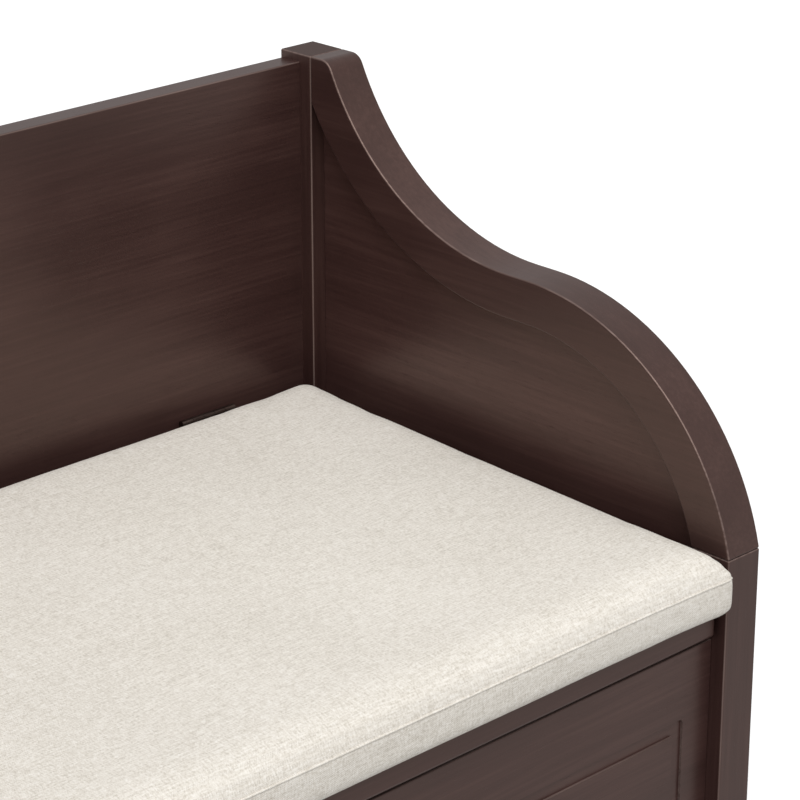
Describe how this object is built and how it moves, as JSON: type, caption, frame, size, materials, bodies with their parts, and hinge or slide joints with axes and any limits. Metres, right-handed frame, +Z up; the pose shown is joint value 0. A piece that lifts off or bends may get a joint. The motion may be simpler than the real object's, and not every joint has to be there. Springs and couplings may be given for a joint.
{
  "type": "storage bench",
  "caption": "Wooden storage bench with frame-and-panel ends, S-curved arms, a plain backrest, a hinged lid over a box seat and one full-length cushion.",
  "frame": {"origin": "on the floor, in the middle of the bench's outer size (the cushion's front edge counts)", "axes": "+X along the bench, towards the right-hand end as seen from the front; the front faces -Y; +Z up"},
  "size_m": [1.067, 0.526, 0.772],
  "materials": {
    "espresso_wood": "dark brown stain under satin lacquer",
    "linen_fabric": "light beige plain weave with fine slubs",
    "hinge_steel": "dark bronze",
    "zinc_screw": "zinc plated",
    "beech_dowel": "bare beech",
    "bumper_rubber": "matt",
    "glide_plastic": "matt"
  },
  "bodies": {
    "bench_frame": {"left_rear_post": "espresso_wood", "left_front_leg": "espresso_wood", "left_arm_rail": "espresso_wood", "left_side_seat_rail": "espresso_wood", "left_side_bottom_rail": "espresso_wood", "left_arm_panel": "espresso_wood", "left_side_panel": "espresso_wood", "left_lid_ledge": "espresso_wood", "left_front_corner_block": "espresso_wood", "left_rear_corner_block": "espresso_wood", "left_end_dowels": "beech_dowel", "left_board_dowels": "beech_dowel", "left_ledge_screws": "zinc_screw", "right_rear_post": "espresso_wood", "right_front_leg": "espresso_wood", "right_arm_rail": "espresso_wood", "right_side_seat_rail": "espresso_wood", "right_side_bottom_rail": "espresso_wood", "right_arm_panel": "espresso_wood", "right_side_panel": "espresso_wood", "right_lid_ledge": "espresso_wood", "right_front_corner_block": "espresso_wood", "right_rear_corner_block": "espresso_wood", "right_end_dowels": "beech_dowel", "right_board_dowels": "beech_dowel", "right_ledge_screws": "zinc_screw", "front_panel": "espresso_wood", "box_back_panel": "espresso_wood", "backrest_board": "espresso_wood", "box_floor": "espresso_wood", "front_floor_cleat": "espresso_wood", "rear_floor_cleat": "espresso_wood", "floor_brace": "espresso_wood", "rear_lid_rail": "espresso_wood", "backrest_hinge_leaves": "hinge_steel", "hinge_pins": "hinge_steel", "backrest_hinge_screws": "zinc_screw", "rear_lid_rail_screws": "zinc_screw", "box_floor_screws": "zinc_screw", "lid_bumpers": "bumper_rubber", "floor_glides": "glide_plastic"},
    "lid": {"lid_board": "espresso_wood", "left_lid_batten": "espresso_wood", "right_lid_batten": "espresso_wood", "lid_batten_screws": "zinc_screw", "lid_hinge_leaves": "hinge_steel", "lid_hinge_screws": "zinc_screw"},
    "cushion": {"seat_cushion": "linen_fabric"}
  },
  "joints": [
    {"name": "lid_hinge", "type": "hinge", "parent": "bench_frame", "child": "lid", "pos_m": [0, 0.2358, 0.471], "axis": [-1, 0, 0], "range_deg": [0, 75]},
    {"name": "cushion_lift_off", "type": "slide", "parent": "lid", "child": "cushion", "axis": [0, 0, 1], "range_m": [0, 0.35]}
  ]
}
